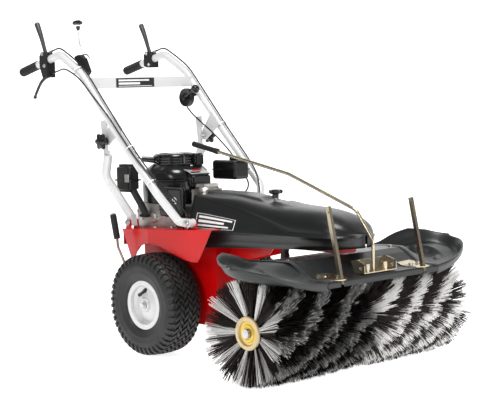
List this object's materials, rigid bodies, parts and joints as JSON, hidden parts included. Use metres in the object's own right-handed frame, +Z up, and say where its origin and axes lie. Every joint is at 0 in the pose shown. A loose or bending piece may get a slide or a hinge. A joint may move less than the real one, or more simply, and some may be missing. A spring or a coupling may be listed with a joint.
{
  "type": "walk behind sweeper",
  "caption": "Motorised walk-behind sweeper with a swivelling front roller brush under winged covers, two drive wheels and a height-adjustable handlebar.",
  "frame": {"origin": "on the ground under the middle of the machine's outer box", "axes": "+Z up, -Y the way the machine travels, +X its left side"},
  "size_m": [1.1332, 1.6793, 1.2642],
  "materials": {
    "red_paint": "gloss",
    "white_paint": "gloss",
    "grey_plastic": "moulded",
    "black_plastic": "satin",
    "lever_plastic": "satin",
    "rubber": "matt",
    "tyre_rubber": "matt",
    "bristle": "fibre",
    "plated_steel": "yellow zinc",
    "steel": "plain",
    "alloy": "cast"
  },
  "bodies": {
    "chassis": {"chassis_frame": "red_paint", "front_boom": "red_paint", "axle_bearings": "steel", "transaxle": "alloy", "crankcase": "alloy", "engine_shroud": "black_plastic", "recoil_cover": "black_plastic", "cylinder_cover": "black_plastic", "silencer_guard": "steel", "air_intake": "black_plastic", "fuel_tank": "black_plastic", "belts": "rubber", "hood": "grey_plastic", "pivot_pins": "steel"},
    "axle": {"axle_shaft": "steel"},
    "wheel_right": {"tyre_right": "tyre_rubber", "rim_right": "white_paint"},
    "wheel_left": {"tyre_left": "tyre_rubber", "rim_left": "white_paint"},
    "transaxle_input": {"transaxle_pulley": "steel"},
    "crank": {"crankshaft": "steel", "flywheel": "steel"},
    "selector": {"selector_lever": "steel"},
    "tank_cap": {"fuel_cap": "black_plastic"},
    "starter": {"starter_grip": "black_plastic"},
    "hood_fastener": {"hood_knob": "black_plastic"},
    "idler_lever": {"idler_arm": "steel"},
    "idler_wheel": {"idler_pulley": "steel"},
    "handlebar": {"handle_tube_right": "white_paint", "handle_tube_left": "white_paint", "hand_grips": "rubber", "cross_bar": "white_paint", "lever_clamps": "black_plastic", "gear_quadrant": "black_plastic", "throttle_disc": "black_plastic", "control_cables": "rubber"},
    "brace_pair": {"braces": "white_paint"},
    "knob_right": {"clamp_knob_right": "black_plastic"},
    "knob_left": {"clamp_knob_left": "black_plastic"},
    "drive_lever": {"drive_hand_lever": "lever_plastic"},
    "brush_lever": {"brush_hand_lever": "lever_plastic"},
    "parking_brake": {"brake_lever": "lever_plastic"},
    "gear_stick": {"gear_lever": "steel"},
    "throttle": {"throttle_lever": "plated_steel"},
    "head": {"brush_gearbox": "alloy", "cover_centre": "grey_plastic", "cover_wing_right": "grey_plastic", "cover_wing_left": "grey_plastic", "cover_bolts": "plated_steel", "swivel_rod": "plated_steel", "swivel_grip": "rubber", "accessory_bracket": "plated_steel", "lock_plates": "plated_steel"},
    "lock_right": {"lock_bar_right": "plated_steel"},
    "lock_left": {"lock_bar_left": "plated_steel"},
    "brush": {"brush_shaft": "steel", "bristles_right": "bristle", "bristles_left": "bristle", "end_discs": "plated_steel"},
    "brush_input": {"input_pulley": "steel"}
  },
  "joints": [
    {"name": "axle_spin", "type": "hinge", "parent": "chassis", "child": "axle", "pos_m": [0, 0.1165, 0.1905], "axis": [1, 0, 0], "continuous": true},
    {"name": "wheel_right_spin", "type": "hinge", "parent": "chassis", "child": "wheel_right", "pos_m": [-0.213, 0.1165, 0.1905], "axis": [1, 0, 0], "continuous": true},
    {"name": "wheel_left_spin", "type": "hinge", "parent": "chassis", "child": "wheel_left", "pos_m": [0.213, 0.1165, 0.1905], "axis": [1, 0, 0], "continuous": true},
    {"name": "transaxle_input_spin", "type": "hinge", "parent": "chassis", "child": "transaxle_input", "pos_m": [0, 0.0415, 0.42], "axis": [0, 0, 1], "continuous": true},
    {"name": "crank_spin", "type": "hinge", "parent": "chassis", "child": "crank", "pos_m": [0, 0.2215, 0.6], "axis": [0, 0, 1], "continuous": true},
    {"name": "selector_swing", "type": "hinge", "parent": "chassis", "child": "selector", "pos_m": [-0.11, 0.2725, 0.322], "axis": [1, 0, 0], "range_deg": [-12, 12]},
    {"name": "tank_cap_turn", "type": "hinge", "parent": "chassis", "child": "tank_cap", "pos_m": [0.168, 0.0665, 0.712], "axis": [0, 0, 1], "range_deg": [0, 90]},
    {"name": "starter_pull", "type": "slide", "parent": "chassis", "child": "starter", "axis": [-0.6704, 0.6527, 0.3528], "range_m": [0, 0.4], "stiffness_N_per_m": 20, "springref_m": -0.05},
    {"name": "hood_knob_turn", "type": "hinge", "parent": "chassis", "child": "hood_fastener", "pos_m": [0, -0.3185, 0.6], "axis": [0, 0, 1], "continuous": true},
    {"name": "idler_swing", "type": "hinge", "parent": "chassis", "child": "idler_lever", "pos_m": [0.08, 0.0865, 0.455], "axis": [0, 0, -1], "range_deg": [0, 2.6]},
    {"name": "idler_spin", "type": "hinge", "parent": "idler_lever", "child": "idler_wheel", "pos_m": [0.08, -0.0435, 0.444], "axis": [0, 0, 1], "continuous": true},
    {"name": "handlebar_tilt", "type": "hinge", "parent": "chassis", "child": "handlebar", "pos_m": [0, -0.0735, 0.5], "axis": [1, 0, 0], "range_deg": [-3.5, 3.5]},
    {"name": "brace_tilt", "type": "hinge", "parent": "chassis", "child": "brace_pair", "pos_m": [0, 0.3045, 0.482], "axis": [1, 0, 0], "range_deg": [-4, 4]},
    {"name": "knob_right_turn", "type": "hinge", "parent": "handlebar", "child": "knob_right", "pos_m": [-0.26, 0.3285, 0.796], "axis": [1, 0, 0], "continuous": true},
    {"name": "knob_left_turn", "type": "hinge", "parent": "handlebar", "child": "knob_left", "pos_m": [0.26, 0.3285, 0.796], "axis": [1, 0, 0], "continuous": true},
    {"name": "drive_lever_squeeze", "type": "hinge", "parent": "handlebar", "child": "drive_lever", "pos_m": [-0.267, 0.6725, 1.136], "axis": [-1, 0, 0], "range_deg": [0, 70], "stiffness_Nm_per_rad": 0.9, "springref_deg": -20.05},
    {"name": "brush_lever_squeeze", "type": "hinge", "parent": "handlebar", "child": "brush_lever", "pos_m": [0.267, 0.6725, 1.136], "axis": [-1, 0, 0], "range_deg": [0, 70], "stiffness_Nm_per_rad": 0.9, "springref_deg": -20.05},
    {"name": "brake_lever_pull", "type": "hinge", "parent": "handlebar", "child": "parking_brake", "pos_m": [-0.267, 0.6525, 1.052], "axis": [1, 0, 0], "range_deg": [0, 22], "stiffness_Nm_per_rad": 0.9, "springref_deg": -28.65},
    {"name": "gear_lever_swing", "type": "hinge", "parent": "handlebar", "child": "gear_stick", "pos_m": [-0.226, 0.4685, 1.098], "axis": [1, 0, 0], "range_deg": [-20, 20]},
    {"name": "throttle_swing", "type": "hinge", "parent": "handlebar", "child": "throttle", "pos_m": [0.221, 0.4125, 0.951], "axis": [1, 0, 0], "range_deg": [-25, 25]},
    {"name": "head_swivel", "type": "hinge", "parent": "chassis", "child": "head", "pos_m": [0, -0.6365, 0.42], "axis": [0, 0, 1], "range_deg": [-15, 15]},
    {"name": "lock_right_drop", "type": "slide", "parent": "head", "child": "lock_right", "axis": [0, -0.2079, -0.9781], "range_m": [0, 0.06]},
    {"name": "lock_left_drop", "type": "slide", "parent": "head", "child": "lock_left", "axis": [0, -0.2079, -0.9781], "range_m": [0, 0.06]},
    {"name": "brush_spin", "type": "hinge", "parent": "head", "child": "brush", "pos_m": [0, -0.6365, 0.19], "axis": [1, 0, 0], "continuous": true},
    {"name": "brush_input_spin", "type": "hinge", "parent": "head", "child": "brush_input", "pos_m": [0, -0.6365, 0.444], "axis": [0, 0, 1], "continuous": true}
  ],
  "couplings": [
    {"joint": "brace_tilt", "follows": "handlebar_tilt", "ratio": 1.04},
    {"joint": "idler_swing", "follows": "brush_lever_squeeze", "ratio": 0.037143},
    {"joint": "transaxle_input_spin", "follows": "axle_spin", "ratio": 12},
    {"joint": "brush_input_spin", "follows": "brush_spin", "ratio": 4}
  ]
}
